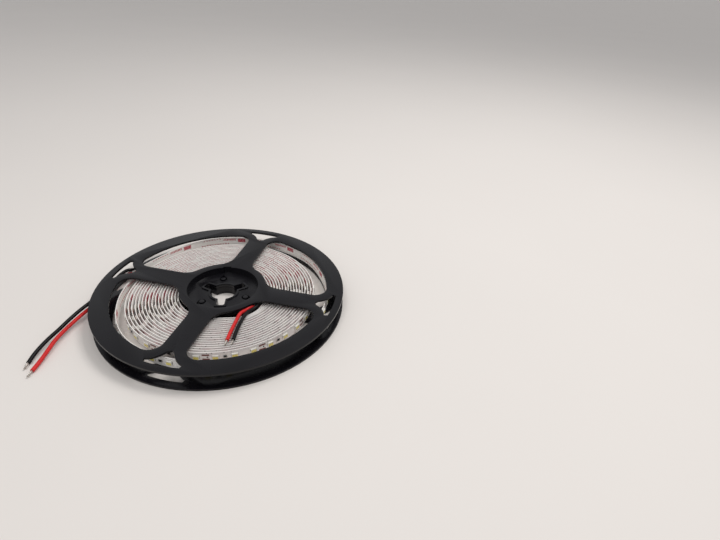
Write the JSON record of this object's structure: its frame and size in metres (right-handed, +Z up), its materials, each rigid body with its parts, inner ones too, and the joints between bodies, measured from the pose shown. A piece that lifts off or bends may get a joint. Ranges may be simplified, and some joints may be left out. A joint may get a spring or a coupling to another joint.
{
  "type": "led strip light reel",
  "caption": "Black plastic reel, snapped together from two spoked halves, wound with white LED strip whose last turn is loose and whose wire ends hang free.",
  "frame": {"origin": "on the reel's axis, at the surface that the lower flange rests on", "axes": "+Z up along the reel's axis, X and Y along the spokes, with the strip's outer wire ends leaving on the -X side"},
  "size_m": [0.178, 0.1916, 0.0135],
  "materials": {
    "reel_plastic": "satin black moulded plastic",
    "strip_laminate": "white solder mask over a flexible board, with a printed paper liner behind it",
    "led_package": "white package with a clear yellow phosphor field",
    "red_insulation": "satin red PVC",
    "black_insulation": "satin black PVC",
    "tinned_wire": "tinned copper strands"
  },
  "bodies": {
    "root": {"upper_reel_half": "reel_plastic", "lower_reel_half": "reel_plastic", "led_strip": "strip_laminate", "led_01": "led_package", "led_02": "led_package", "led_03": "led_package", "led_04": "led_package", "led_05": "led_package", "led_06": "led_package", "led_07": "led_package", "led_08": "led_package", "led_09": "led_package", "led_10": "led_package", "led_11": "led_package", "led_12": "led_package", "led_13": "led_package", "led_14": "led_package", "led_15": "led_package", "led_16": "led_package", "led_17": "led_package", "led_18": "led_package", "led_19": "led_package", "led_20": "led_package", "led_21": "led_package", "led_22": "led_package", "led_23": "led_package", "led_24": "led_package", "led_25": "led_package", "led_26": "led_package", "led_27": "led_package", "led_28": "led_package", "led_29": "led_package", "led_30": "led_package", "led_31": "led_package", "led_32": "led_package", "led_33": "led_package", "led_34": "led_package", "led_35": "led_package", "led_36": "led_package", "led_37": "led_package", "led_38": "led_package", "led_39": "led_package", "led_40": "led_package", "led_41": "led_package", "led_42": "led_package", "led_43": "led_package", "led_44": "led_package", "led_45": "led_package", "led_46": "led_package", "led_47": "led_package", "led_48": "led_package", "start_lead_black": "black_insulation", "start_tip_black": "tinned_wire", "start_lead_red": "red_insulation", "start_tip_red": "tinned_wire", "end_lead_black": "black_insulation", "end_tip_black": "tinned_wire", "end_lead_red": "red_insulation", "end_tip_red": "tinned_wire"}
  },
  "joints": []
}
